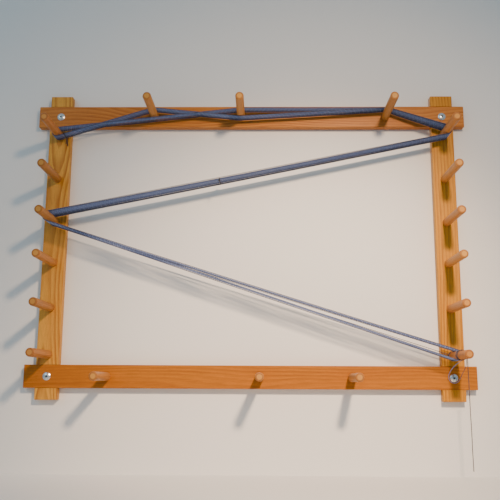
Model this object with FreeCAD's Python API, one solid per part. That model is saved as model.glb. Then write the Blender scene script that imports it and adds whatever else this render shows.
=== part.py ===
"""Wall-hung warping board: four lapped boards, eighteen pull-out pegs and a wound warp.

Frame: millimetres, +Z up, +X to the right, +Y into the wall. The origin is the middle of
the top rail's back face, so the wall is the plane Y = 0 and the pegs point along -Y.
"""
import FreeCAD, Part
import math
import os

from FreeCAD import Vector

# ---------------------------------------------------------------- driving dimensions
COLUMN_SPACING = 914.4       # one yard between the two upright rows of pegs
BOARD_WIDTH = 52.0
BOARD_THICKNESS = 19.0
RAIL_LENGTH = 1020.0
UPRIGHT_LENGTH = 720.0
RAIL_SPACING = 616.0         # centre line to centre line
EDGE_ROUND = 1.6             # eased long edges and ends
LAP_GAP = 0.15               # air each side of a board in its notch
CUT_MARGIN = 1.0             # how far a cutter runs past the face it opens

PEG_RADIUS = 9.5
PEG_REACH = 130.0            # from the board's front face to the tip
PEG_TIP_ROUND = 3.0
PEG_TENON_RADIUS = 9.2       # the end that is pushed into the board
PEG_SHOULDER_GAP = 0.3       # from the board's front face to the peg's full diameter
PEG_BACK_GAP = 0.5           # how far the peg stops short of the wall
PEG_BACK_BEVEL = 0.8
PEG_HOLE_CLEARANCE = 0.05
PEG_ROWS = (259.5, 153.0, 48.5, -48.5, -153.0, -259.5)   # from mid height, top row first
RAIL_PEGS = (-230.0, -23.0, 322.0)                       # top rail; the bottom rail is it turned over

BOLT_HEAD_RADIUS = 9.0
BOLT_HEAD_RIM = 0.8
BOLT_HEAD_HEIGHT = 3.4
BOLT_SHANK_RADIUS = 3.0
BOLT_SHANK_LENGTH = 15.0
BOLT_HOLE_RADIUS = 3.5
SOCKET_FLATS = 5.0
SOCKET_DEPTH = 2.2
NUT_HEAD_RADIUS = 8.5
NUT_HEAD_THICKNESS = 1.6
NUT_BARREL_RADIUS = 4.5
NUT_BARREL_LENGTH = 7.4
NUT_BARREL_CLEARANCE = 0.05
NUT_THREAD_CLEARANCE = 0.05
NUT_SEAT_DEPTH = 1.8
NUT_SEAT_CLEARANCE = 0.5

YARN_DIAMETER = 1.5
YARN_GAP = 0.3               # air between the yarn and the pegs
PASSES = 20                  # ten circuits, there and back
MAX_TURN = math.radians(65)  # the most that one arc of a wrap turns
# Where the first strand stands on a peg, in front of the board, and the step to the next one.
CLOSE_PACK = (3.0, 1.65)     # on the first peg and along the top rail
CORNER_PACK = (3.0, 2.4)     # on the first peg of the right row
OPEN_PACK = (5.0, 3.3)       # on the third peg of the left row
LAST_PACK = (5.0, 2.8)       # on the last peg
START_TIE_REACH = (1.6, 4.6)  # the yarn's first end is wound on next to the board
START_TIE_TURN = math.radians(450)
START_KNOT_ANGLE = math.radians(150)
START_KNOT_LEAD = 2.2        # from the peg to the corner where the first strand sets off
START_KNOT_TRIM = 2.0
END_STUB = 2.0               # straight end past a wrap
ARC_SHARE = 0.45             # part of the shorter run that a free corner's arc takes
MIN_RUN = 0.02               # a shorter straight run than this is left out

# The yarn's tail, as (dx, reach, dz) from the lower right bolt's axis.
TAIL_REACH = 58.8
TAIL_HEADING = math.radians(-145)
TAIL_LEAD = 7.0              # the tail first runs straight on from the wound yarn
TAIL_POINTS = (
    (-6.5, 51.0, 30.0),
    (-10.0, 41.0, 24.5),
    (-14.5, 23.0, 14.0),
    (-15.0, 8.0, 2.0),
    (-9.0, 1.9, -8.5),
    (1.0, 1.7, -11.8),
    (9.5, 3.0, -7.5),
    (12.5, 13.0, 3.0),
    (13.0, 32.0, 14.5),
    (13.5, 50.0, 24.0),
    (12.5, 61.2, 34.0),
)
TAIL_TIE_REACH = (61.6, 63.8)
TAIL_TIE_TURN = math.radians(255)

# The thin thread that hangs from the last peg, as (dx, reach, dz) from the peg's axis.
THREAD_DIAMETER = 2.0
HANG_WRAP_REACH = (70.0, 75.5)
HANG_POINTS = (
    (10.4, 76.0, -22.0),
    (11.2, 75.2, -66.0),
    (10.6, 76.4, -112.0),
    (11.8, 75.4, -160.0),
    (11.2, 76.2, -204.0),
    (12.0, 75.6, -240.0),
)

# Ties of darker thread: one round every strand of the long upper run, one beside the first peg.
TIE_DIAMETER = 2.2
TIE_GAP = 0.6                # air between a tie and the strands it gathers
TIE_TAIL_DRIFT = 1.6         # how far each end leans sideways
TIE_TAIL_LEAN = 0.4          # and away from the other end
TIE_TAIL_SHARE = 0.85        # the second end is cut a little shorter
COUNT_TIE_X = -70.0
COUNT_TIE_TAIL = 9.0
CROSS_TIE_X = -438.5
CROSS_TIE_TAIL = 20.0

# ---------------------------------------------------------------- derived places
BOARD_HALF = BOARD_WIDTH / 2
FRONT_Y = -BOARD_THICKNESS
LAP_Y = FRONT_Y / 2
COLUMN_X = COLUMN_SPACING / 2
MID_Z = -RAIL_SPACING / 2
RAIL_Z = {"top": 0.0, "bottom": -RAIL_SPACING}
UPRIGHT_X = {"left": -COLUMN_X, "right": COLUMN_X}
YARN_RADIUS = YARN_DIAMETER / 2
WRAP_RADIUS = PEG_RADIUS + YARN_GAP + YARN_RADIUS

PEG_PLACES = {}
for row, height in enumerate(PEG_ROWS, start=1):
    for name, x in UPRIGHT_X.items():
        PEG_PLACES[f"peg_{name}_{row}"] = (x, MID_Z + height)
for number, x in enumerate(RAIL_PEGS, start=1):
    PEG_PLACES[f"peg_top_{number}"] = (x, RAIL_Z["top"])
for number, x in enumerate(reversed(RAIL_PEGS), start=1):
    PEG_PLACES[f"peg_bottom_{number}"] = (-x, RAIL_Z["bottom"])

CORNERS = {
    f"{rail}_{upright}": (x, z)
    for rail, z in RAIL_Z.items()
    for upright, x in UPRIGHT_X.items()
}


# ---------------------------------------------------------------- small helpers
def block(x_range, y_range, z_range):
    """A box between two values on each axis."""
    sizes = [high - low for low, high in (x_range, y_range, z_range)]
    return Part.makeBox(*sizes, Vector(x_range[0], y_range[0], z_range[0]))


def rod(radius, y_back, y_front, x, z):
    """A round bar along Y, from its back end to its front end."""
    return Part.makeCylinder(radius, y_back - y_front, Vector(x, y_back, z), Vector(0, -1, 0))


def eased(solid):
    """The same block with every edge rounded."""
    return solid.makeFillet(EDGE_ROUND, solid.Edges)


def front_of_board(reach):
    """Y of a point that stands `reach` in front of the boards."""
    return FRONT_Y - reach


# ---------------------------------------------------------------- boards
def through_hole(radius, x, z):
    """The cutter of a hole right through a board."""
    return rod(radius, CUT_MARGIN, FRONT_Y - CUT_MARGIN, x, z)


def with_peg_holes(board, owner):
    """Drill the through holes of the pegs that a board carries."""
    for name, (x, z) in PEG_PLACES.items():
        if name.startswith(f"peg_{owner}_"):
            board = board.cut(through_hole(PEG_TENON_RADIUS + PEG_HOLE_CLEARANCE, x, z))
    return board


def make_rail(side):
    """A rail runs through at the front: it is notched behind, where the uprights cross it."""
    z = RAIL_Z[side]
    half = RAIL_LENGTH / 2
    rail = eased(block((-half, half), (FRONT_Y, 0), (z - BOARD_HALF, z + BOARD_HALF)))
    notch_half = BOARD_HALF + LAP_GAP
    for x in UPRIGHT_X.values():
        across = (z - BOARD_WIDTH, z + BOARD_WIDTH)
        notch = block((x - notch_half, x + notch_half), (LAP_Y, CUT_MARGIN), across)
        rail = rail.cut(notch).cut(through_hole(BOLT_HOLE_RADIUS, x, z))
    return with_peg_holes(rail, side)


def make_upright(side):
    """An upright runs through at the back, with a seat for each sleeve nut's head."""
    x = UPRIGHT_X[side]
    half = UPRIGHT_LENGTH / 2
    upright = eased(block((x - BOARD_HALF, x + BOARD_HALF), (FRONT_Y, 0), (MID_Z - half, MID_Z + half)))
    notch_half = BOARD_HALF + LAP_GAP
    for z in RAIL_Z.values():
        across = (x - BOARD_WIDTH, x + BOARD_WIDTH)
        notch = block(across, (FRONT_Y - CUT_MARGIN, LAP_Y), (z - notch_half, z + notch_half))
        seat = rod(NUT_HEAD_RADIUS + NUT_SEAT_CLEARANCE, CUT_MARGIN, -NUT_SEAT_DEPTH, x, z)
        upright = upright.cut(notch).cut(seat)
        upright = upright.cut(through_hole(NUT_BARREL_RADIUS + NUT_BARREL_CLEARANCE, x, z))
    return with_peg_holes(upright, side)


# ---------------------------------------------------------------- pegs and fasteners
def make_peg(x, z):
    """A dowel with a rounded tip and a barely reduced tenon, pushed into its hole from the front."""
    back, tip = -PEG_BACK_GAP, front_of_board(PEG_REACH)
    shoulder = front_of_board(PEG_SHOULDER_GAP)
    tenon = rod(PEG_TENON_RADIUS, back, shoulder, x, z)
    peg = rod(PEG_RADIUS, shoulder, tip, x, z).fuse(tenon).removeSplitter()
    tip_edges = [edge for edge in peg.Edges if abs(edge.BoundBox.YMax - tip) < MIN_RUN]
    peg = peg.makeFillet(PEG_TIP_ROUND, tip_edges)
    back_edges = [edge for edge in peg.Edges if abs(edge.BoundBox.YMin - back) < MIN_RUN]
    return peg.makeChamfer(PEG_BACK_BEVEL, back_edges).Solids[0]


def make_bolt(x, z):
    """A connector bolt: a shallow domed head with a hexagon socket, and a short shank."""
    rise = BOLT_HEAD_HEIGHT - BOLT_HEAD_RIM
    rim = Vector(BOLT_HEAD_RADIUS, FRONT_Y - BOLT_HEAD_RIM, 0)
    crown = Vector(0, FRONT_Y - BOLT_HEAD_HEIGHT, 0)
    dome_radius = (BOLT_HEAD_RADIUS ** 2 + rise ** 2) / (2 * rise)
    half_angle = math.asin(BOLT_HEAD_RADIUS / dome_radius) / 2
    dome_centre_y = crown.y + dome_radius
    shoulder = Vector(
        dome_radius * math.sin(half_angle), dome_centre_y - dome_radius * math.cos(half_angle), 0
    )
    under, foot = Vector(0, FRONT_Y, 0), Vector(BOLT_HEAD_RADIUS, FRONT_Y, 0)
    outline = Part.Wire([
        Part.LineSegment(under, foot).toShape(),
        Part.LineSegment(foot, rim).toShape(),
        Part.Arc(rim, shoulder, crown).toShape(),
        Part.LineSegment(crown, under).toShape(),
    ])
    head = Part.Face(outline).revolve(Vector(0, 0, 0), Vector(0, 1, 0), 360)
    shank = rod(BOLT_SHANK_RADIUS, FRONT_Y + BOLT_SHANK_LENGTH, FRONT_Y - BOLT_HEAD_RIM, 0, 0)
    corner_radius = SOCKET_FLATS / math.sqrt(3)
    mouth = [
        Vector(corner_radius * math.cos(angle), crown.y - CUT_MARGIN, corner_radius * math.sin(angle))
        for angle in (math.pi / 3 * side for side in range(7))
    ]
    socket = Part.Face(Part.makePolygon(mouth)).extrude(Vector(0, SOCKET_DEPTH + CUT_MARGIN, 0))
    bolt = head.fuse(shank).removeSplitter().cut(socket)
    bolt.translate(Vector(x, 0, z))
    return bolt.Solids[0]


def make_nut(x, z):
    """A sleeve nut let into the upright's back, flush, that the bolt screws into."""
    head_front = -NUT_SEAT_DEPTH
    head_back = head_front + NUT_HEAD_THICKNESS
    mouth = head_front - NUT_BARREL_LENGTH
    head = rod(NUT_HEAD_RADIUS, head_back, head_front, x, z)
    nut = head.fuse(rod(NUT_BARREL_RADIUS, head_back, mouth, x, z)).removeSplitter()
    return nut.cut(rod(BOLT_SHANK_RADIUS + NUT_THREAD_CLEARANCE, head_front, mouth - CUT_MARGIN, x, z))


# ---------------------------------------------------------------- threads
class Route:
    """Corner points of a thread, each with the length that its arc takes from both its runs."""

    def __init__(self):
        self.points = []
        self.trims = []

    def add(self, point, trim=None):
        """A corner; with no trim its arc is as large as its two runs allow."""
        self.points.append(point)
        self.trims.append(trim)

    def add_wrap(self, peg, side, heading, turn, reach_in, reach_out, radius):
        """Wind round a peg; side is +1 when the peg is on the thread's left, seen from the front."""
        x, z = PEG_PLACES[peg]
        count = max(1, math.ceil(turn / MAX_TURN))
        half_step = turn / count / 2
        corners = []
        for number in range(count):
            share = (number + 0.5) / count
            angle = heading - side * math.pi / 2 + side * turn * share
            reach = reach_in + (reach_out - reach_in) * share
            corners.append(beside(x, z, angle, radius / math.cos(half_step), reach))
        trim = radius * math.tan(half_step)
        if count > 1:
            trim = corners[0].distanceToPoint(corners[1]) / 2
        for corner in corners:
            self.add(corner, trim)

    def trim_at(self, index):
        """Length that the arc at a corner takes from each of its runs."""
        if self.trims[index] is not None:
            return self.trims[index]
        corner = self.points[index]
        runs = [corner.distanceToPoint(self.points[index + step]) for step in (-1, 1)]
        return ARC_SHARE * min(runs)


def beside(x, z, angle, distance, reach):
    """A point at an angle and distance from a peg's axis, in front of the board."""
    return Vector(x + distance * math.cos(angle), front_of_board(reach), z + distance * math.sin(angle))


def along(heading, length):
    """A step in the board's plane, at an angle from +X towards +Z."""
    return Vector(length * math.cos(heading), 0, length * math.sin(heading))


def taut_heading(start, end):
    """Direction of the taut line from one peg of the warp to the next."""
    (x0, z0), (x1, z1) = PEG_PLACES[start[0]], PEG_PLACES[end[0]]
    slant = math.asin(WRAP_RADIUS * (end[1] - start[1]) / math.hypot(x1 - x0, z1 - z0))
    return math.atan2(z1 - z0, x1 - x0) - slant


def heading_from(place, end):
    """Direction of the taut line from a point to the next peg of the warp."""
    x, z = PEG_PLACES[end[0]]
    slant = math.asin(WRAP_RADIUS * end[1] / math.hypot(x - place.x, z - place.z))
    return math.atan2(z - place.z, x - place.x) - slant


def tube(name, route, diameter):
    """A round thread along a route: straight runs joined by tangent arcs."""
    edges = []
    radii = []
    here = route.points[0]
    for index in range(1, len(route.points) - 1):
        corner, trim = route.points[index], route.trim_at(index)
        before = (corner - route.points[index - 1]).normalize()
        after = (route.points[index + 1] - corner).normalize()
        half_turn = before.getAngle(after) / 2
        radius = trim / math.tan(half_turn)
        start, end = corner - before * trim, corner + after * trim
        bulge = (after - before).normalize() * (radius / math.cos(half_turn) - radius)
        if here.distanceToPoint(start) > MIN_RUN:
            edges.append(Part.LineSegment(here, start).toShape())
        else:
            start = here
        edges.append(Part.Arc(start, corner + bulge, end).toShape())
        radii.append(radius)
        here = end
    edges.append(Part.LineSegment(here, route.points[-1]).toShape())
    spine = Part.Wire(edges)
    first_run = (route.points[1] - route.points[0]).normalize()
    disc = Part.Face(Part.Wire(Part.makeCircle(diameter / 2, route.points[0], first_run)))
    solid = spine.makePipe(disc)
    expected = math.pi * diameter ** 2 / 4 * spine.Length
    print(
        f"{name}: {spine.Length:.0f} mm in {len(edges)} edges, radii {min(radii):.1f} to {max(radii):.0f},"
        f" volume / (section x length) {solid.Volume / expected:.4f}, valid {solid.isValid()}"
    )
    return solid


# One circuit of the warp, as (peg, side, packing). Going out, a strand passes over the first top
# peg and under the second. Coming back, it passes over the second and below the first, which it
# clears without bending, so that peg isn't a turn of the way back.
WAY_OUT = (
    ("peg_left_1", 1, CLOSE_PACK),
    ("peg_top_1", -1, CLOSE_PACK),
    ("peg_top_2", 1, CLOSE_PACK),
    ("peg_top_3", -1, CLOSE_PACK),
    ("peg_right_1", -1, CORNER_PACK),
    ("peg_left_3", 1, OPEN_PACK),
)
WAY_BACK = (
    ("peg_right_6", -1, LAST_PACK),
    ("peg_left_3", -1, OPEN_PACK),
    ("peg_right_1", 1, CORNER_PACK),
    ("peg_top_3", 1, CLOSE_PACK),
    ("peg_top_2", 1, CLOSE_PACK),
)


def warp_stops():
    """Every turn of the warp in order, as (peg, side, reach on arrival, reach on leaving)."""
    stops = []
    for strand in range(PASSES):
        way = WAY_OUT if strand % 2 else WAY_BACK
        for number, (peg, side, (first, step)) in enumerate(way):
            reach = first + step * strand
            arrival = reach - step if number == 0 else reach
            stops.append((peg, side, arrival, reach))
    last_peg, side, (first, step) = WAY_BACK[0]
    stops.append((last_peg, side, first + step * (PASSES - 1), TAIL_REACH))
    return stops


def warp_route():
    """The whole warp yarn: tied on beside the board, wound out and back, and off the last peg."""
    stops = warp_stops()
    first_peg = PEG_PLACES[stops[0][0]]
    off_the_tie = START_KNOT_ANGLE + math.pi / 2
    start_heading = off_the_tie - START_TIE_TURN
    start = beside(*first_peg, start_heading - math.pi / 2, WRAP_RADIUS, START_TIE_REACH[0])
    knot = beside(*first_peg, START_KNOT_ANGLE, WRAP_RADIUS, START_TIE_REACH[1])
    knot += along(off_the_tie, START_KNOT_LEAD)
    route = Route()
    route.add(start - along(start_heading, END_STUB))
    route.add_wrap(stops[0][0], 1, start_heading, START_TIE_TURN, *START_TIE_REACH, WRAP_RADIUS)
    route.add(knot, START_KNOT_TRIM)
    leaving = [taut_heading(here, there) for here, there in zip(stops, stops[1:])] + [TAIL_HEADING]
    leaving[0] = heading_from(knot, stops[1])
    for arriving, heading, (peg, side, reach_in, reach_out) in zip(leaving, leaving[1:], stops[1:]):
        turn = (side * (heading - arriving)) % (2 * math.pi)
        route.add_wrap(peg, side, arriving, turn, reach_in, reach_out, WRAP_RADIUS)
    last_touch = beside(*PEG_PLACES[peg], TAIL_HEADING - side * math.pi / 2, WRAP_RADIUS, TAIL_REACH)
    route.add(last_touch + along(TAIL_HEADING, END_STUB))
    return route


def tail_route():
    """The yarn's slack end: down under the head of the lower right bolt and back up to the peg."""
    *_, off_the_peg, start = warp_route().points
    route = Route()
    route.add(start)
    route.add(start + (start - off_the_peg).normalize() * TAIL_LEAD)
    x, z = CORNERS["bottom_right"]
    for dx, reach, dz in TAIL_POINTS:
        route.add(Vector(x + dx, front_of_board(reach), z + dz))
    route.add_wrap(WAY_BACK[0][0], 1, math.pi / 2, TAIL_TIE_TURN, *TAIL_TIE_REACH, WRAP_RADIUS)
    end_heading = math.pi / 2 + TAIL_TIE_TURN
    x, z = PEG_PLACES[WAY_BACK[0][0]]
    end = beside(x, z, end_heading - math.pi / 2, WRAP_RADIUS, TAIL_TIE_REACH[1])
    route.add(end + along(end_heading, END_STUB))
    return route


def hanging_route():
    """A thin thread: once round the last peg, then straight down past the board's foot."""
    route = Route()
    peg = WAY_BACK[0][0]
    x, z = PEG_PLACES[peg]
    radius = PEG_RADIUS + YARN_GAP + THREAD_DIAMETER / 2
    down = -math.pi / 2
    route.add(beside(x, z, 0, radius, HANG_WRAP_REACH[0]) - along(down, END_STUB))
    route.add_wrap(peg, -1, down, 2 * math.pi, *HANG_WRAP_REACH, radius)
    for dx, reach, dz in HANG_POINTS:
        route.add(Vector(x + dx, front_of_board(reach), z + dz))
    return route


def tie_route(middle, reach_low, reach_high, front, tail_length):
    """A thread round a flat run of strands; front is +1 when its ends hang in front, -1 behind."""
    x, z = middle
    stand_off = YARN_RADIUS + TIE_GAP + TIE_DIAMETER / 2
    near, far = reach_high + stand_off, reach_low - stand_off
    if front < 0:
        near, far = far, near
    inner = near - 2 * front * stand_off
    route = Route()
    lean = front * TIE_TAIL_LEAN
    route.add(Vector(x + TIE_TAIL_DRIFT, front_of_board(near + lean), z - tail_length))
    for reach, dz in ((near, stand_off), (far, stand_off), (far, -stand_off), (inner, -stand_off)):
        route.add(Vector(x, front_of_board(reach), z + dz), stand_off - MIN_RUN)
    end_z = z - TIE_TAIL_SHARE * tail_length
    route.add(Vector(x - TIE_TAIL_DRIFT, front_of_board(inner - lean), end_z))
    return route


def strand_place(start, end, x):
    """Height at X of the taut line between two turns, and the share of the way it has run there."""
    heading = taut_heading(start, end)
    touches = [
        beside(*PEG_PLACES[peg], heading - side * math.pi / 2, WRAP_RADIUS, 0)
        for peg, side, _ in (start, end)
    ]
    share = (x - touches[0].x) / (touches[1].x - touches[0].x)
    return touches[0].z + share * (touches[1].z - touches[0].z), share


def make_tie(name, start, end, x, strands, front, tail_length):
    """Tie the given strands together where the line between two turns passes X."""
    z, share = strand_place(start, end, x)
    (first_a, step_a), (first_b, step_b) = start[2], end[2]
    reaches = [
        (1 - share) * (first_a + step_a * strand) + share * (first_b + step_b * strand)
        for strand in strands
    ]
    route = tie_route((x, z), min(reaches), max(reaches), front, tail_length)
    return tube(name, route, TIE_DIAMETER)


# ---------------------------------------------------------------- the whole board
def main():
    os.makedirs("parts", exist_ok=True)
    nodes = {f"{side}_rail": make_rail(side) for side in RAIL_Z}
    nodes.update({f"{side}_upright": make_upright(side) for side in UPRIGHT_X})
    nodes.update({name: make_peg(x, z) for name, (x, z) in PEG_PLACES.items()})
    for corner, (x, z) in CORNERS.items():
        nodes[f"corner_bolt_{corner}"] = make_bolt(x, z)
        nodes[f"sleeve_nut_{corner}"] = make_nut(x, z)
    nodes["warp_yarn"] = tube("warp_yarn", warp_route(), YARN_DIAMETER)
    nodes["yarn_tail"] = tube("yarn_tail", tail_route(), YARN_DIAMETER)
    nodes["hanging_thread"] = tube("hanging_thread", hanging_route(), THREAD_DIAMETER)
    nodes["count_tie"] = make_tie(
        "count_tie", WAY_OUT[4], WAY_OUT[5], COUNT_TIE_X, range(PASSES), 1, COUNT_TIE_TAIL
    )
    nodes["cross_tie"] = make_tie(
        "cross_tie", WAY_OUT[0], WAY_OUT[1], CROSS_TIE_X, range(1, PASSES, 2), -1, CROSS_TIE_TAIL
    )
    for name, shape in nodes.items():
        assert shape.isValid() and shape.Volume > 0, name
        shape.exportStep(f"parts/{name}.step")
    print(len(nodes), "nodes")


main()
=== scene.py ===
"""Wall-hung warping board: lacquered wood, bright fastenings and a wound warp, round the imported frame."""
import bpy
import math
import random

import numpy as np
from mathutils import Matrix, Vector


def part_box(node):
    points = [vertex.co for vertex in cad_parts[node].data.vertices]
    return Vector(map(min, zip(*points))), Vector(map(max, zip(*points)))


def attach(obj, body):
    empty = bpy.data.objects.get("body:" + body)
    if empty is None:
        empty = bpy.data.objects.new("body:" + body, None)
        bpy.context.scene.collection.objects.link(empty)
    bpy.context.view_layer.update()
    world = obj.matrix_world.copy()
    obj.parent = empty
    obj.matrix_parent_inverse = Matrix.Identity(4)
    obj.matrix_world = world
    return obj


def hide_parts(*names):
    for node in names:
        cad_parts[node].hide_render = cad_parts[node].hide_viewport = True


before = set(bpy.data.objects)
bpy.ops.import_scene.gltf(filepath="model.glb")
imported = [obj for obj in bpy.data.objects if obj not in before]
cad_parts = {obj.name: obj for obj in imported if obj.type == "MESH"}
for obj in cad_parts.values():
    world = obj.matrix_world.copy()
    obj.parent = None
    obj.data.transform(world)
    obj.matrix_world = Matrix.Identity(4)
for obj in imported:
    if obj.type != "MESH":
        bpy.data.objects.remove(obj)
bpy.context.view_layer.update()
ROOT = "frame"

# ---------------------------------------------------------------- sizes repeated from the model, in metres
FRONT_Y = -0.019
PEG_RADIUS = 0.0095
YARN_RADIUS = 0.00075
YARN_GAP = 0.0003
WRAP_RADIUS = PEG_RADIUS + YARN_GAP + YARN_RADIUS
PASSES = 20                  # ten circuits, there and back
# Where the first strand stands on a peg, in front of the board, and the step to the next one.
CLOSE_PACK = (0.0030, 0.00165)
CORNER_PACK = (0.0030, 0.0024)
OPEN_PACK = (0.0050, 0.0033)
LAST_PACK = (0.0050, 0.0028)
START_TIE_REACH = (0.0016, 0.0046)
START_TIE_TURN = math.radians(450)
START_KNOT_ANGLE = math.radians(150)
START_KNOT_LEAD = 0.0022
START_KNOT_TRIM = 0.0020
MAX_TURN = math.radians(65)
END_STUB = 0.002

# The yarn's tail, as (dx, reach, dz) from the lower right bolt's axis.
TAIL_REACH = 0.0588
TAIL_HEADING = math.radians(-145)
TAIL_LEAD = 0.007
TAIL_POINTS = (
    (-0.0065, 0.0510, 0.0300),
    (-0.0100, 0.0410, 0.0245),
    (-0.0145, 0.0230, 0.0140),
    (-0.0150, 0.0080, 0.0020),
    (-0.0090, 0.0019, -0.0085),
    (0.0010, 0.0017, -0.0118),
    (0.0095, 0.0030, -0.0075),
    (0.0125, 0.0130, 0.0030),
    (0.0130, 0.0320, 0.0145),
    (0.0135, 0.0500, 0.0240),
    (0.0125, 0.0612, 0.0340),
)
TAIL_TIE_REACH = (0.0616, 0.0638)
TAIL_TIE_TURN = math.radians(255)

# The thread that hangs from the last peg, as (dx, reach, dz) from the peg's axis.
THREAD_RADIUS = 0.0010
HANG_WRAP_REACH = (0.0700, 0.0755)
HANG_POINTS = (
    (0.0104, 0.0760, -0.0220),
    (0.0112, 0.0752, -0.0660),
    (0.0106, 0.0764, -0.1120),
    (0.0118, 0.0754, -0.1600),
    (0.0112, 0.0762, -0.2040),
    (0.0120, 0.0756, -0.2400),
)

# The two ties, as (x, front, tail length): front is 1 when the ends hang in front of the yarn, -1 behind it.
TIE_RADIUS = 0.0011
TIE_GAP = 0.0006
TIE_TAIL_DRIFT = 0.0016
TIE_TAIL_LEAN = 0.0004
TIE_TAIL_SHARE = 0.85
COUNT_TIE = (-0.070, 1, 0.009)
CROSS_TIE = (-0.4385, -1, 0.020)

# The warp's way, as (peg, side that the yarn passes on, pack): 1 turns counter-clockwise round the peg.
WAY_OUT = (
    ("peg_left_1", 1, CLOSE_PACK),
    ("peg_top_1", -1, CLOSE_PACK),
    ("peg_top_2", 1, CLOSE_PACK),
    ("peg_top_3", -1, CLOSE_PACK),
    ("peg_right_1", -1, CORNER_PACK),
    ("peg_left_3", 1, OPEN_PACK),
)
WAY_BACK = (
    ("peg_right_6", -1, LAST_PACK),
    ("peg_left_3", -1, OPEN_PACK),
    ("peg_right_1", 1, CORNER_PACK),
    ("peg_top_3", 1, CLOSE_PACK),
    ("peg_top_2", 1, CLOSE_PACK),
)


def centre(node):
    """X and Z of a CAD node's middle."""
    low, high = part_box(node)
    return (low[0] + high[0]) / 2, (low[2] + high[2]) / 2


PEGS = {name: centre(name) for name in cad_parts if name.startswith("peg_")}
BOLTS = {name: centre(name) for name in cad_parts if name.startswith("corner_bolt_")}


# ---------------------------------------------------------------- materials
# Noise stretches are given as (along, across, deep), in cycles per metre.
GRAIN_SWAY = (1.7, 3.0, 3.0)
GRAIN_SLOW = (2.6, 8.0, 8.0)
GRAIN_STREAK = (3.0, 40.0, 40.0)
GRAIN_CLOUD = (3.4, 16.0, 16.0)
GRAIN_RIPPLE = (14.0, 90.0, 90.0)
GRAIN_FIBRE = (26.0, 1100.0, 1100.0)
GRAIN_PORE = (110.0, 2900.0, 2900.0)
TIP_RIM_DEPTH = 0.0022       # how far the darker end grain shows behind a peg's tip
TIP_DISC = (0.0046, 0.0062)  # the pale flat of the tip fades out between these radii
SOCKET_RADIUS = (0.0027, 0.0030)
SOCKET_FADE = 0.0003
SOCKET_START = 0.0004        # the socket's shade starts this far under the bolt's crown


class Shader:
    """A material, with short ways to add its nodes."""

    def __init__(self, name):
        self.material = bpy.data.materials.new(name)
        self.material.use_nodes = True
        self.tree = self.material.node_tree
        self.surface = self.tree.nodes["Principled BSDF"]

    def put(self, socket, value):
        if isinstance(value, bpy.types.NodeSocket):
            self.tree.links.new(value, socket)
        elif isinstance(value, (tuple, list)) and socket.type == "RGBA" and len(value) == 3:
            socket.default_value = (*value, 1.0)
        else:
            socket.default_value = value

    def node(self, kind, values=(), **settings):
        made = self.tree.nodes.new(kind)
        for key, value in settings.items():
            setattr(made, key, value)
        for key, value in dict(values).items():
            self.put(made.inputs[key], value)
        return made

    def set(self, **values):
        for key, value in values.items():
            self.put(self.surface.inputs[key.replace("_", " ")], value)

    def math(self, operation, a, b=0.0, c=0.0):
        return self.node("ShaderNodeMath", {0: a, 1: b, 2: c}, operation=operation).outputs[0]

    def vector(self, operation, a, b):
        return self.node("ShaderNodeVectorMath", {0: a, 1: b}, operation=operation).outputs[0]

    def mix(self, share, a, b, blend="MIX"):
        made = self.node("ShaderNodeMix", data_type="RGBA", blend_type=blend)
        self.put(made.inputs[0], share)
        self.put(made.inputs[6], a)
        self.put(made.inputs[7], b)
        return made.outputs[2]

    def spread(self, value, low, high, to_low=0.0, to_high=1.0):
        values = {"Value": value, "From Min": low, "From Max": high, "To Min": to_low, "To Max": to_high}
        return self.node("ShaderNodeMapRange", values, interpolation_type="SMOOTHSTEP").outputs[0]

    def noise(self, place, stretch, detail=2.0, roughness=0.5):
        at = self.vector("MULTIPLY", place, stretch)
        values = {"Vector": at, "Scale": 1.0, "Detail": detail, "Roughness": roughness}
        return self.node("ShaderNodeTexNoise", values).outputs[0]

    def bump(self, height, distance, strength):
        values = {"Height": height, "Distance": distance, "Strength": strength}
        self.set(Normal=self.node("ShaderNodeBump", values).outputs[0])

    def object_place(self):
        return self.node("ShaderNodeTexCoord").outputs["Object"]

    def split(self, place):
        return self.node("ShaderNodeSeparateXYZ", {0: place}).outputs

    def join(self, x, y, z):
        return self.node("ShaderNodeCombineXYZ", {0: x, 1: y, 2: z}).outputs[0]


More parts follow.
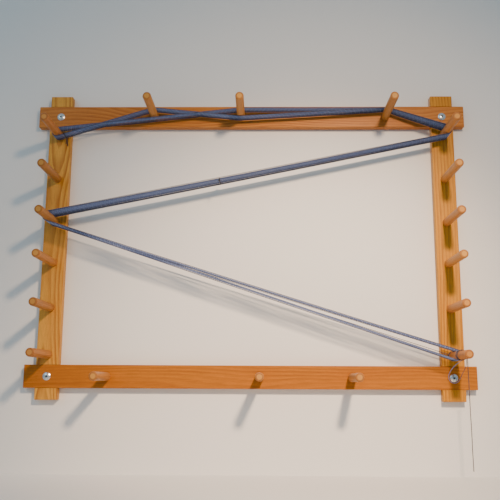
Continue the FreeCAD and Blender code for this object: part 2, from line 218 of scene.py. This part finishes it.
def wood(name, order, pith, wander, ring, early, late, patch, seed, coat=0.14, tip=None):
    """Lacquered wood cut from a log: rings round a wandering pith, fibres and pores along the grain.

    order names the axes along the grain, across the face and into it, and pith is where the
    log's heart lies on the last two. tip is a peg's (x, z, front, rim colour, disc colour)."""
    s = Shader(name)
    axes = dict(zip("XYZ", s.split(s.object_place())))
    along, across, deep = (axes[letter] for letter in order)
    grain = s.vector("ADD", s.join(along, across, deep), (seed * 1.37, seed * 0.61, seed * 0.29))
    slow = s.noise(grain, GRAIN_SLOW, 1.0)
    sway = s.noise(grain, GRAIN_SWAY, 1.0)
    off_across = s.math("SUBTRACT", across, pith[0])
    off_across = s.math("ADD", off_across, s.math("MULTIPLY", s.math("SUBTRACT", sway, 0.5), wander))
    off_deep = s.math("SUBTRACT", deep, pith[1])
    off_deep = s.math("ADD", off_deep, s.math("MULTIPLY", s.math("SUBTRACT", slow, 0.5), wander * 2.2))
    radius = s.math("SQRT", s.math("ADD", s.math("POWER", off_across, 2.0), s.math("POWER", off_deep, 2.0)))
    ripple = s.noise(grain, GRAIN_RIPPLE, 2.0)
    turn = s.math("ADD", s.math("DIVIDE", radius, ring), s.math("MULTIPLY", ripple, 0.55))
    part = s.math("FRACT", turn)
    grown = s.spread(part, 0.15, 0.86)
    band = s.math("MULTIPLY", grown, s.spread(part, 0.90, 1.0, 1.0, 0.0))
    strength = s.spread(s.noise(grain, GRAIN_STREAK, 1.0), 0.25, 0.75, 0.35, 1.0)
    band = s.math("MULTIPLY", band, strength)
    fibre = s.noise(grain, GRAIN_FIBRE, 3.0, 0.6)
    pore = s.spread(s.noise(grain, GRAIN_PORE, 1.0), 0.60, 0.70)
    colour = s.mix(band, early, late)
    cloud = s.spread(s.noise(grain, GRAIN_CLOUD, 2.0), 0.35, 0.70)
    colour = s.mix(s.math("MULTIPLY", cloud, 0.55), colour, patch)
    tone = s.spread(fibre, 0.25, 0.75, 0.80, 1.14)
    colour = s.mix(1.0, colour, s.join(tone, tone, tone), "MULTIPLY")
    pore_colour = tuple(0.45 * channel for channel in late)
    colour = s.mix(s.math("MULTIPLY", pore, 0.35), colour, pore_colour)
    if tip:
        x, z, front, rim, disc = tip
        off_x, off_z = s.math("SUBTRACT", axes["X"], x), s.math("SUBTRACT", axes["Z"], z)
        off = s.math("SQRT", s.math("ADD", s.math("POWER", off_x, 2.0), s.math("POWER", off_z, 2.0)))
        end = s.spread(axes["Y"], front, front + TIP_RIM_DEPTH, 1.0, 0.0)
        colour = s.mix(s.math("MULTIPLY", end, 0.8), colour, rim)
        face = s.math("MULTIPLY", end, s.spread(off, *TIP_DISC, 1.0, 0.0))
        colour = s.mix(s.math("MULTIPLY", face, 0.85), colour, disc)
    s.set(Base_Color=colour, Coat_Weight=coat, Coat_Roughness=0.28, Coat_IOR=1.45, Specular_IOR_Level=0.15)
    s.set(Roughness=s.spread(fibre, 0.2, 0.8, 0.42, 0.60))
    height = s.math("ADD", s.math("MULTIPLY", fibre, 0.5), s.math("MULTIPLY", band, 0.35))
    s.bump(s.math("SUBTRACT", height, s.math("MULTIPLY", pore, 0.4)), 0.00012, 0.55)
    return s.material


def bright_metal(name, x, z, socket_top=None):
    """Nickel-plated steel with fine turning marks round its own axis, and perhaps painted shade down a
    socket.
    """
    s = Shader(name)
    place = s.object_place()
    px, py, pz = s.split(place)
    off_x, off_z = s.math("SUBTRACT", px, x), s.math("SUBTRACT", pz, z)
    radius = s.math("SQRT", s.math("ADD", s.math("POWER", off_x, 2.0), s.math("POWER", off_z, 2.0)))
    rings = s.noise(s.join(radius, 0.0, 0.0), (5200.0, 1.0, 1.0), 3.0)
    stain = s.noise(place, (340.0, 340.0, 340.0), 3.0, 0.6)
    colour = s.mix(s.spread(stain, 0.35, 0.72), (0.86, 0.85, 0.82), (0.62, 0.60, 0.56))
    wear = s.math("ADD", s.math("MULTIPLY", rings, 0.4), s.math("MULTIPLY", stain, 0.6))
    rough = s.spread(wear, 0.3, 0.7, 0.16, 0.34)
    if socket_top is not None:
        within = s.spread(radius, *SOCKET_RADIUS, 1.0, 0.0)
        below = s.spread(py, socket_top, socket_top + SOCKET_FADE)
        socket_shade = s.math("MULTIPLY", within, below)
        # Painted shade: the socket's hollow is painted near black below its rim.
        colour = s.mix(s.math("MULTIPLY", socket_shade, 0.85), colour, (0.05, 0.05, 0.055))
    s.set(Base_Color=colour, Metallic=1.0, Roughness=rough)
    s.bump(rings, 0.00002, 0.35)
    return s.material


def thread_material(name, deep, mid, pale, sheen, painted_light_span=None):
    """Twisted yarn: two plies of slightly different shade, painted shade in the grooves between them, and a
    drift along its length with painted light and shade.

    The last argument gives four lengths along the yarn, in metres, for painted light and shade: it is
    painted dark up to the first, pale between the second and third, and dark again after the fourth."""
    s = Shader(name)
    u, v, _ = s.split(s.node("ShaderNodeUVMap", uv_map="Thread").outputs["UV"])
    groove = s.math("COSINE", s.math("MULTIPLY", v, 4 * math.pi))
    lobe = s.math("MULTIPLY_ADD", groove, 0.5, 0.5)
    ply = s.math("MULTIPLY_ADD", s.math("COSINE", s.math("MULTIPLY", v, 2 * math.pi)), 0.5, 0.5)
    drift = s.spread(s.noise(s.join(u, 0.0, 0.0), (2.3, 1.0, 1.0), 3.0, 0.6), 0.32, 0.68)
    heather = s.noise(s.join(u, v, 0.0), (420.0, 7.0, 1.0), 2.0, 0.6)
    # Painted light and shade: a stretch of the yarn is painted pale and the rest dark, for lit and shaded
    # strands in the wound bands; four fifths of the drift is this, one fifth the yarn's own.
    if painted_light_span:
        shade_end, lit_start, lit_end, shade_start = painted_light_span
        fade_in = s.spread(u, shade_end, lit_start)
        fade_out = s.spread(u, lit_end, shade_start, 1.0, 0.0)
        light = s.math("MULTIPLY", fade_in, fade_out)
        drift = s.math("MULTIPLY_ADD", light, 0.80, s.math("MULTIPLY", drift, 0.20))
    colour = s.mix(drift, deep, mid)
    flecks = s.math("MULTIPLY", s.spread(heather, 0.48, 0.72), s.spread(drift, 0.0, 1.0, 0.2, 0.5))
    colour = s.mix(flecks, colour, pale)
    colour = s.mix(s.math("MULTIPLY", ply, s.spread(drift, 0.0, 1.0, 0.05, 0.25)), colour, pale)
    # Painted shade: the grooves between the plies are painted darker, down to 0.42 of the colour.
    shade = s.spread(lobe, 0.0, 0.8, 0.42, 1.0)
    colour = s.mix(1.0, colour, s.join(shade, shade, shade), "MULTIPLY")
    fibre = s.noise(s.join(s.math("MULTIPLY_ADD", v, 0.006, u), v, 0.0), (900.0, 26.0, 1.0), 2.0)
    s.set(Base_Color=colour, Roughness=0.62, Sheen_Weight=sheen, Sheen_Roughness=0.45)
    s.bump(s.math("ADD", s.math("MULTIPLY", fibre, 0.5), lobe), 0.00008, 0.7)
    return s.material


# ---------------------------------------------------------------- threads as twisted plies
LOBE_SIDES = 8
LOBE_DEPTH = 0.17            # how deep the groove between the plies is, as a share of the radius


def thread_mesh(name, points, radius, pitch, start=0.0):
    """A closed two-ply thread along evenly spaced points, with its length and twist as UVs."""
    points = np.asarray(points, dtype=float)
    steps = np.linalg.norm(np.diff(points, axis=0), axis=1)
    run = np.concatenate([[0.0], np.cumsum(steps)]) + start
    ahead = np.gradient(points, axis=0)
    ahead /= np.linalg.norm(ahead, axis=1, keepdims=True)
    side = carried_sides(ahead)
    over = np.cross(ahead, side)
    twist = run / pitch
    angles = np.arange(LOBE_SIDES + 1) / LOBE_SIDES
    phase = angles[None, :] - twist[:, None]
    reach = radius * (1 - LOBE_DEPTH + LOBE_DEPTH * np.cos(4 * math.pi * phase))
    round_x = (reach * np.cos(2 * math.pi * angles))[:, :LOBE_SIDES, None]
    round_y = (reach * np.sin(2 * math.pi * angles))[:, :LOBE_SIDES, None]
    rings = points[:, None, :] + round_x * side[:, None, :] + round_y * over[:, None, :]
    count = len(points)
    index = np.arange(count * LOBE_SIDES).reshape(count, LOBE_SIDES)
    wrapped = np.roll(index, -1, axis=1)
    quads = np.stack([index[:-1], wrapped[:-1], wrapped[1:], index[1:]], axis=-1).reshape(-1, 4)
    caps = [index[0][::-1], index[-1]]
    loops = np.concatenate([quads.ravel(), *caps])
    sizes = np.concatenate([np.full(len(quads), 4), [LOBE_SIDES] * 2])
    mesh = bpy.data.meshes.new(name)
    mesh.vertices.add(count * LOBE_SIDES)
    mesh.vertices.foreach_set("co", rings.ravel())
    mesh.loops.add(len(loops))
    mesh.loops.foreach_set("vertex_index", loops.astype(np.int32))
    mesh.polygons.add(len(sizes))
    mesh.polygons.foreach_set("loop_start", np.concatenate([[0], np.cumsum(sizes)[:-1]]).astype(np.int32))
    mesh.polygons.foreach_set("use_smooth", np.ones(len(sizes), dtype=bool))
    low_u, high_u = run[:-1, None].repeat(LOBE_SIDES, 1), run[1:, None].repeat(LOBE_SIDES, 1)
    corner_u = np.stack([low_u, low_u, high_u, high_u], axis=-1)
    corner_v = np.stack([phase[:-1, :-1], phase[:-1, 1:], phase[1:, 1:], phase[1:, :-1]], axis=-1)
    body = np.stack([corner_u, corner_v], axis=-1).reshape(-1, 2)
    ends = [np.column_stack([np.full(LOBE_SIDES, run[i]), phase[i, :LOBE_SIDES]]) for i in (0, -1)]
    layer = mesh.uv_layers.new(name="Thread")
    layer.data.foreach_set("uv", np.concatenate([body, ends[0][::-1], ends[1]]).ravel())
    mesh.update()
    mesh.validate()
    thing = bpy.data.objects.new(name, mesh)
    bpy.context.scene.collection.objects.link(thing)
    return thing


def carried_sides(ahead):
    """A sideways direction at each point that turns no more than the line itself does."""
    sides = np.empty_like(ahead)
    side = np.cross(ahead[0], (0.0, 1.0, 0.0))
    if np.linalg.norm(side) < 0.1:
        side = np.cross(ahead[0], (1.0, 0.0, 0.0))
    for number, direction in enumerate(ahead):
        side = side - direction * side.dot(direction)
        side = side / np.linalg.norm(side)
        sides[number] = side
    return sides


def beside(place, angle, distance, reach):
    """A point at an angle and distance from a peg's axis, in front of the boards."""
    x, z = place
    return Vector((x + distance * math.cos(angle), FRONT_Y - reach, z + distance * math.sin(angle)))


def along(heading, length):
    return Vector((length * math.cos(heading), 0.0, length * math.sin(heading)))


def taut_heading(start, end):
    """Direction of the taut line from one peg of the warp to the next."""
    (x0, z0), (x1, z1) = PEGS[start[0]], PEGS[end[0]]
    slant = math.asin(WRAP_RADIUS * (end[1] - start[1]) / math.hypot(x1 - x0, z1 - z0))
    return math.atan2(z1 - z0, x1 - x0) - slant


def heading_from(place, end):
    """Direction of the taut line from a point to the next peg of the warp."""
    x, z = PEGS[end[0]]
    slant = math.asin(WRAP_RADIUS * end[1] / math.hypot(x - place.x, z - place.z))
    return math.atan2(z - place.z, x - place.x) - slant


def warp_stops():
    """Every turn of the warp in order, as (peg, side, reach on arrival, reach on leaving)."""
    stops = []
    for strand in range(PASSES):
        way = WAY_OUT if strand % 2 else WAY_BACK
        for number, (peg, side, (first, step)) in enumerate(way):
            reach = first + step * strand
            stops.append((peg, side, reach - step if number == 0 else reach, reach))
    peg, side, (first, step) = WAY_BACK[0]
    stops.append((peg, side, first + step * (PASSES - 1), TAIL_REACH))
    return stops


STEP = 0.00125               # between points of the wound yarn
MOST_SAG = 0.0016            # slack in the middle of a strand, as a share of its length
KNOT_STEPS = 5


def arc_points(peg, side, heading, turn, reach_in, reach_out, radius):
    """Points round a peg, from a heading on, drifting from one reach to another."""
    count = max(2, round(turn * radius / STEP))
    shares = (np.arange(count) + 0.5) / count
    angles = heading - side * math.pi / 2 + side * turn * shares
    x, z = PEGS[peg]
    reaches = reach_in + (reach_out - reach_in) * shares
    return np.column_stack([x + radius * np.cos(angles), FRONT_Y - reaches, z + radius * np.sin(angles)])


def run_points(start, end, sag):
    """Points between the ends of a nearly straight run, a little slack in the middle."""
    length = np.linalg.norm(end - start)
    count = max(2, round(length / STEP))
    shares = ((np.arange(count) + 0.5) / count)[:, None]
    line = start + (end - start) * shares
    line[:, 2:] -= sag * 4 * shares * (1 - shares)
    return line


def start_knot():
    """The first end's tie, close to the board: its turns, and the corner where the yarn sets off."""
    peg = WAY_BACK[0][0]
    off_the_tie = START_KNOT_ANGLE + math.pi / 2
    turns = arc_points(peg, 1, off_the_tie - START_TIE_TURN, START_TIE_TURN, *START_TIE_REACH, WRAP_RADIUS)
    touch = beside(PEGS[peg], START_KNOT_ANGLE, WRAP_RADIUS, START_TIE_REACH[1])
    knot = touch + along(off_the_tie, START_KNOT_LEAD)
    heading = heading_from(knot, WAY_BACK[1])
    shares = (np.arange(KNOT_STEPS + 1) / KNOT_STEPS)[:, None]
    before = np.array(knot - along(off_the_tie, START_KNOT_TRIM))
    after = np.array(knot + along(heading, START_KNOT_TRIM))
    bend = before * (1 - shares) ** 2 + 2 * np.array(knot) * shares * (1 - shares) + after * shares ** 2
    return np.concatenate([turns, bend]), heading


def warp_lines():
    """The whole warp as one line, cut at the last peg's turns into one line for each circuit."""
    chance = random.Random(5)
    stops = warp_stops()
    leaving = [taut_heading(here, there) for here, there in zip(stops, stops[1:])] + [TAIL_HEADING]
    tied_on, leaving[0] = start_knot()
    pieces = [[tied_on]]
    for number, (peg, side, reach_in, reach_out) in enumerate(stops[1:], start=1):
        arriving, heading = leaving[number - 1], leaving[number]
        turn = (side * (heading - arriving)) % (2 * math.pi)
        arc = arc_points(peg, side, arriving, turn, reach_in, reach_out, WRAP_RADIUS)
        start = pieces[-1][-1][-1]
        length = np.linalg.norm(arc[0] - start)
        pieces[-1].append(run_points(start, arc[0], chance.uniform(0, MOST_SAG) * length))
        pieces[-1].append(arc)
        if peg == WAY_BACK[0][0] and number < len(stops) - 1:
            pieces.append([arc[-1:]])
    end = np.array(tail_start())
    pieces[-1].append(run_points(pieces[-1][-1][-1], end, 0.0))
    pieces[-1].append(end[None, :])
    return [np.concatenate(piece) for piece in pieces]


def tail_start():
    """Where the wound yarn ends and its loose tail begins, under the last peg."""
    peg, side, _ = WAY_BACK[0]
    touch = beside(PEGS[peg], TAIL_HEADING - side * math.pi / 2, WRAP_RADIUS, TAIL_REACH)
    return touch + along(TAIL_HEADING, END_STUB)


def wrap_corners(peg, side, heading, turn, reach_in, reach_out, radius):
    """Corners of the line that goes round a peg."""
    count = max(1, math.ceil(turn / MAX_TURN))
    half_step = turn / count / 2
    corners = []
    for number in range(count):
        share = (number + 0.5) / count
        angle = heading - side * math.pi / 2 + side * turn * share
        reach = reach_in + (reach_out - reach_in) * share
        corners.append(beside(PEGS[peg], angle, radius / math.cos(half_step), reach))
    return corners


def tail_route():
    """The yarn's slack end: down round the lower right bolt's head and back up to the peg."""
    peg, side, _ = WAY_BACK[0]
    start = tail_start()
    arriving = taut_heading(("peg_left_3", 1), (peg, side))
    turn = (side * (TAIL_HEADING - arriving)) % (2 * math.pi)
    first, step = LAST_PACK
    reach_in = first + step * (PASSES - 1)
    off_the_peg = wrap_corners(peg, side, arriving, turn, reach_in, TAIL_REACH, WRAP_RADIUS)[-1]
    route = [start, start + (start - off_the_peg).normalized() * TAIL_LEAD]
    x, z = BOLTS["corner_bolt_bottom_right"]
    route += [Vector((x + dx, FRONT_Y - reach, z + dz)) for dx, reach, dz in TAIL_POINTS]
    route += wrap_corners(peg, 1, math.pi / 2, TAIL_TIE_TURN, *TAIL_TIE_REACH, WRAP_RADIUS)
    heading = math.pi / 2 + TAIL_TIE_TURN
    end = beside(PEGS[peg], heading - math.pi / 2, WRAP_RADIUS, TAIL_TIE_REACH[1])
    return route + [end + along(heading, END_STUB)]


def hanging_route():
    """The hanging thread: once round the last peg, then straight down past the board's foot."""
    peg = WAY_BACK[0][0]
    radius = PEG_RADIUS + YARN_GAP + THREAD_RADIUS
    down = -math.pi / 2
    route = [beside(PEGS[peg], 0, radius, HANG_WRAP_REACH[0]) - along(down, END_STUB)]
    route += wrap_corners(peg, -1, down, 2 * math.pi, *HANG_WRAP_REACH, radius)
    x, z = PEGS[peg]
    return route + [Vector((x + dx, FRONT_Y - reach, z + dz)) for dx, reach, dz in HANG_POINTS]


def tie_route(start, end, x, strands, front, tail_length):
    """A thread round a flat run of strands; front is +1 when its ends hang in front, -1 behind."""
    heading = taut_heading(start, end)
    touches = [
        beside(PEGS[peg], heading - side * math.pi / 2, WRAP_RADIUS, 0) for peg, side, _ in (start, end)
    ]
    share = (x - touches[0].x) / (touches[1].x - touches[0].x)
    z = touches[0].z + share * (touches[1].z - touches[0].z)
    (first_a, step_a), (first_b, step_b) = start[2], end[2]
    reaches = [(1 - share) * (first_a + step_a * n) + share * (first_b + step_b * n) for n in strands]
    stand_off = YARN_RADIUS + TIE_GAP + TIE_RADIUS
    near, far = max(reaches) + stand_off, min(reaches) - stand_off
    if front < 0:
        near, far = far, near
    inner = near - 2 * front * stand_off
    lean = front * TIE_TAIL_LEAN
    route = [Vector((x + TIE_TAIL_DRIFT, FRONT_Y - near - lean, z - tail_length))]
    for reach, dz in ((near, stand_off), (far, stand_off), (far, -stand_off), (inner, -stand_off)):
        route.append(Vector((x, FRONT_Y - reach, z + dz)))
    end_z = z - TIE_TAIL_SHARE * tail_length
    route.append(Vector((x - TIE_TAIL_DRIFT, FRONT_Y - inner + lean, end_z)))
    return route


def smooth_line(route):
    """Points along the smooth curve that a route controls."""
    data = bpy.data.curves.new("route", "CURVE")
    data.dimensions = "3D"
    data.resolution_u = 24
    spline = data.splines.new("NURBS")
    spline.points.add(len(route) - 1)
    for point, place in zip(spline.points, route):
        point.co = (*place, 1.0)
    spline.order_u = 3
    spline.use_endpoint_u = True
    holder = bpy.data.objects.new("route", data)
    mesh = bpy.data.meshes.new_from_object(holder)
    line = np.array([vertex.co[:] for vertex in mesh.vertices])
    bpy.data.objects.remove(holder)
    bpy.data.curves.remove(data)
    bpy.data.meshes.remove(mesh)
    return line


def evenly(line, step):
    """The same line with its points a fixed step apart."""
    run = np.concatenate([[0.0], np.cumsum(np.linalg.norm(np.diff(line, axis=0), axis=1))])
    places = np.linspace(0.0, run[-1], max(3, round(run[-1] / step)))
    return np.column_stack([np.interp(places, run, line[:, axis]) for axis in range(3)])


# ---------------------------------------------------------------- paint the boards, pegs and metal
def paint(node, material):
    """Gives a CAD node one material."""
    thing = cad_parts[node]
    thing.data.materials.clear()
    thing.data.materials.append(material)


def dress_boards():
    rail_axes, upright_axes = "XZY", "ZXY"
    paint("top_rail", wood(
        "Wood.TopRail", rail_axes, (0.045, 0.060), 0.020, 0.0046,
        (0.56, 0.215, 0.040), (0.35, 0.105, 0.016), (0.45, 0.150, 0.024), 1))
    paint("bottom_rail", wood(
        "Wood.BottomRail", rail_axes, (-0.670, 0.055), 0.018, 0.0050,
        (0.45, 0.150, 0.010), (0.27, 0.078, 0.005), (0.37, 0.112, 0.007), 2))
    paint("left_upright", wood(
        "Wood.LeftUpright", upright_axes, (-0.462, 0.020), 0.024, 0.0052,
        (0.68, 0.335, 0.050), (0.33, 0.105, 0.012), (0.58, 0.250, 0.032), 3))
    paint("right_upright", wood(
        "Wood.RightUpright", upright_axes, (0.560, 0.050), 0.016, 0.0064,
        (0.60, 0.265, 0.020), (0.33, 0.110, 0.008), (0.50, 0.195, 0.014), 4))


PEG_PITH = 0.03              # from a peg's axis to the heart of the log that it was cut from
PEG_RING = 0.0026
PEG_WANDER = 0.006
PEG_COAT = 0.10


def dress_pegs():
    """Every peg is turned from its own piece of wood, a little lighter or redder than the next."""
    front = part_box("peg_top_1")[0][1]
    chance = random.Random(11)
    for number, name in enumerate(sorted(PEGS)):
        x, z = PEGS[name]
        warm = chance.uniform(0.88, 1.12)
        red = chance.uniform(0.94, 1.06)
        early = (0.52 * warm, 0.220 * warm * red, 0.052 * warm)
        late = (0.36 * warm, 0.130 * warm * red, 0.028 * warm)
        patch = (0.44 * warm, 0.165 * warm * red, 0.036 * warm)
        turn = chance.uniform(0, 2 * math.pi)
        pith = (x + PEG_PITH * math.cos(turn), z + PEG_PITH * math.sin(turn))
        rim = (0.30 * warm, 0.120 * warm * red, 0.030 * warm)
        disc = (0.56 * warm, 0.270 * warm * red, 0.060 * warm)
        paint(name, wood(
            f"Wood.{name}", "YXZ", pith, PEG_WANDER, PEG_RING, early, late, patch, 20 + number,
            coat=PEG_COAT, tip=(x, z, front, rim, disc)))


def dress_metal():
    crown_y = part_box("corner_bolt_top_left")[0][1]
    for name, (x, z) in BOLTS.items():
        paint(name, bright_metal(f"Nickel.{name}", x, z, crown_y + SOCKET_START))
        nut = name.replace("corner_bolt", "sleeve_nut")
        paint(nut, bright_metal(f"Nickel.{nut}", x, z))


# ---------------------------------------------------------------- wind the yarn
WARP_SHADES = (0.012, 0.014, 0.042), (0.155, 0.230, 0.500), (0.42, 0.53, 0.84)
PALE_SHADES = (0.030, 0.020, 0.028), (0.085, 0.060, 0.080), (0.24, 0.19, 0.22)
DARK_SHADES = (0.010, 0.008, 0.010), (0.022, 0.017, 0.019), (0.09, 0.07, 0.07)
# Painted light and shade along the yarn, in metres: the first and last circuits are painted dark and the
# middle ones pale; the tail is painted pale on its first leg and dark on its second.
WARP_PAINTED_LIGHT = (8.0, 36.0, 46.0, 57.0)
TAIL_PAINTED_LIGHT = (-0.2, -0.1, 0.095, 0.120)
# Length of one twist of the plies.
WARP_PITCH = 0.010
TAIL_PITCH = 0.007
HANG_PITCH = 0.0045
TIE_PITCH = 0.004
# Between the points of a loose thread.
TAIL_STEP = 0.0009
HANG_STEP = 0.0007
TIE_STEP = 0.0006


def finish_thread(thing, material, node):
    """Gives a thread its material, fixes it to the board and puts it in place of a CAD node."""
    thing.data.materials.append(material)
    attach(thing, ROOT)
    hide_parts(node)


def wind_warp():
    """The warp, one piece for each circuit, and its loose tail."""
    wool = thread_material("Yarn.Warp", *WARP_SHADES, 0.15, WARP_PAINTED_LIGHT)
    ending = thread_material("Yarn.Tail", *WARP_SHADES, 0.15, TAIL_PAINTED_LIGHT)
    start = 0.0
    for number, line in enumerate(warp_lines(), start=1):
        thing = thread_mesh(f"warp_circuit_{number:02d}", line, YARN_RADIUS, WARP_PITCH, start)
        start += float(np.linalg.norm(np.diff(line, axis=0), axis=1).sum())
        finish_thread(thing, wool, "warp_yarn")
    route = tail_route()
    line = evenly(smooth_line(route), TAIL_STEP)
    tail = thread_mesh("warp_tail", line, YARN_RADIUS, TAIL_PITCH)
    finish_thread(tail, ending, "yarn_tail")


def hang_threads():
    """The thread that hangs from the last peg, and the two ties."""
    pale = thread_material("Thread.Pale", *PALE_SHADES, 0.15)
    dark = thread_material("Thread.Dark", *DARK_SHADES, 0.2)
    route = hanging_route()
    line = evenly(smooth_line(route), HANG_STEP)
    thread = thread_mesh("hanging_thread_twisted", line, THREAD_RADIUS, HANG_PITCH)
    finish_thread(thread, pale, "hanging_thread")
    ties = {
        "count_tie": (WAY_OUT[4], WAY_OUT[5], range(PASSES), COUNT_TIE),
        "cross_tie": (WAY_OUT[0], WAY_OUT[1], range(1, PASSES, 2), CROSS_TIE),
    }
    for name, (start, end, strands, (x, front, tail_length)) in ties.items():
        line = evenly(smooth_line(tie_route(start, end, x, strands, front, tail_length)), TIE_STEP)
        finish_thread(thread_mesh(f"{name}_twisted", line, TIE_RADIUS, TIE_PITCH), dark, name)


# ---------------------------------------------------------------- the room, the light and the camera
FLOOR_Z = -0.83
WALL_Y = 0.0006
ROOM_FAR = 6.0
ROOM_HIGH = 3.0
BOARD_MIDDLE = (0.0, 0.0, -0.308)
LAMP_PLACE = (0.434, -1.405, 0.281)
LAMP_POOL = (0.10, 0.0, -0.62)    # the middle of its light on the wall
LAMP_COLOUR = (1.0, 0.70, 0.46)
LAMP_SIZE = 0.15
FILL_COLOUR = (0.62, 0.84, 1.0)
BEHIND_COLOUR = (1.0, 0.98, 0.95)
SKY_COLOUR = (0.66, 0.86, 1.0, 1.0)
SKY_STRENGTH = 0.44


def plane(name, corners, material):
    """One face of the room."""
    mesh = bpy.data.meshes.new(name)
    mesh.from_pydata(corners, [], [(0, 1, 2, 3)])
    mesh.materials.append(material)
    thing = bpy.data.objects.new(name, mesh)
    bpy.context.scene.collection.objects.link(thing)
    return thing


def build_room():
    """A plain floor, and a plain wall that can be seen through from behind."""
    floor = Shader("Room.Floor")
    floor.set(Base_Color=(0.78, 0.77, 0.75), Roughness=0.85)
    far = ROOM_FAR
    corners = [(-far, -far, FLOOR_Z), (far, -far, FLOOR_Z), (far, far, FLOOR_Z), (-far, far, FLOOR_Z)]
    plane("floor", corners, floor.material)
    wall = Shader("Room.Wall")
    wall.set(Base_Color=(0.80, 0.80, 0.79), Roughness=0.9)
    see_through = wall.node("ShaderNodeBsdfTransparent")
    one_sided = wall.node("ShaderNodeMixShader")
    wall.put(one_sided.inputs[0], wall.node("ShaderNodeNewGeometry").outputs["Backfacing"])
    wall.put(one_sided.inputs[1], wall.surface.outputs[0])
    wall.put(one_sided.inputs[2], see_through.outputs[0])
    wall.put(wall.tree.nodes["Material Output"].inputs["Surface"], one_sided.outputs[0])
    high = ROOM_HIGH
    corners = [(-far, WALL_Y, FLOOR_Z), (far, WALL_Y, FLOOR_Z), (far, WALL_Y, high), (-far, WALL_Y, high)]
    plane("wall", corners, wall.material).visible_shadow = False


def light(name, kind, place, target, power, colour, size, cone=0.0):
    """A disk that lights everything in front of it, or a lamp with a soft-edged cone."""
    lamp = bpy.data.lights.new(name, kind)
    lamp.energy = power
    lamp.color = colour
    if kind == "AREA":
        lamp.shape = "DISK"
        lamp.size = size
    else:
        lamp.shadow_soft_size = size / 2
        lamp.spot_size = cone
        lamp.spot_blend = 1.0
    thing = bpy.data.objects.new(name, lamp)
    thing.location = place
    thing.rotation_euler = (Vector(target) - Vector(place)).to_track_quat("-Z", "Y").to_euler()
    bpy.context.scene.collection.objects.link(thing)


def build_light():
    """A warm lamp with a bright middle and a wide rim, cool daylight, and a light for the back."""
    light("Key", "SPOT", LAMP_PLACE, LAMP_POOL, 145.0, LAMP_COLOUR, LAMP_SIZE, math.radians(50))
    light("KeyWide", "SPOT", LAMP_PLACE, LAMP_POOL, 60.0, LAMP_COLOUR, LAMP_SIZE, math.radians(88))
    light("Fill", "AREA", (-1.8, -2.4, 0.9), BOARD_MIDDLE, 10.0, FILL_COLOUR, 2.2)
    light("Behind", "AREA", (-1.2, 2.2, 1.2), BOARD_MIDDLE, 16.0, BEHIND_COLOUR, 1.8)
    world = bpy.data.worlds.new("Studio")
    world.use_nodes = True
    background = world.node_tree.nodes["Background"]
    background.inputs[0].default_value = SKY_COLOUR
    background.inputs[1].default_value = SKY_STRENGTH
    bpy.context.scene.world = world


CAMERA_PLACE = (0.0270, -1.6309, -0.6266)
CAMERA_YAW, CAMERA_PITCH, CAMERA_ROLL = (math.radians(a) for a in (-0.956, 10.58, 0.286))
FOCAL_SHARE = 1.414          # focal length as a share of the picture's width
SENSOR_WIDTH = 36.0


def build_camera():
    """The camera, which looks a little up at the board and is rolled by a fraction of a degree."""
    data = bpy.data.cameras.new("Camera")
    data.sensor_width = SENSOR_WIDTH
    data.lens = FOCAL_SHARE * SENSOR_WIDTH
    ahead = Vector((
        math.sin(CAMERA_YAW) * math.cos(CAMERA_PITCH),
        math.cos(CAMERA_YAW) * math.cos(CAMERA_PITCH),
        math.sin(CAMERA_PITCH),
    ))
    right = Vector((math.cos(CAMERA_YAW), -math.sin(CAMERA_YAW), 0.0))
    up = right.cross(ahead)
    turned_right = right * math.cos(CAMERA_ROLL) + up * math.sin(CAMERA_ROLL)
    turned_up = up * math.cos(CAMERA_ROLL) - right * math.sin(CAMERA_ROLL)
    camera = bpy.data.objects.new("Camera", data)
    matrix = camera.matrix_world.copy()
    for column, direction in enumerate((turned_right, turned_up, -ahead)):
        for row in range(3):
            matrix[row][column] = direction[row]
    matrix.translation = Vector(CAMERA_PLACE)
    camera.matrix_world = matrix
    bpy.context.scene.collection.objects.link(camera)
    bpy.context.scene.camera = camera


build_camera()
wind_warp()
hang_threads()
dress_boards()
dress_pegs()
dress_metal()
build_room()
build_light()

bpy.context.view_layer.update()
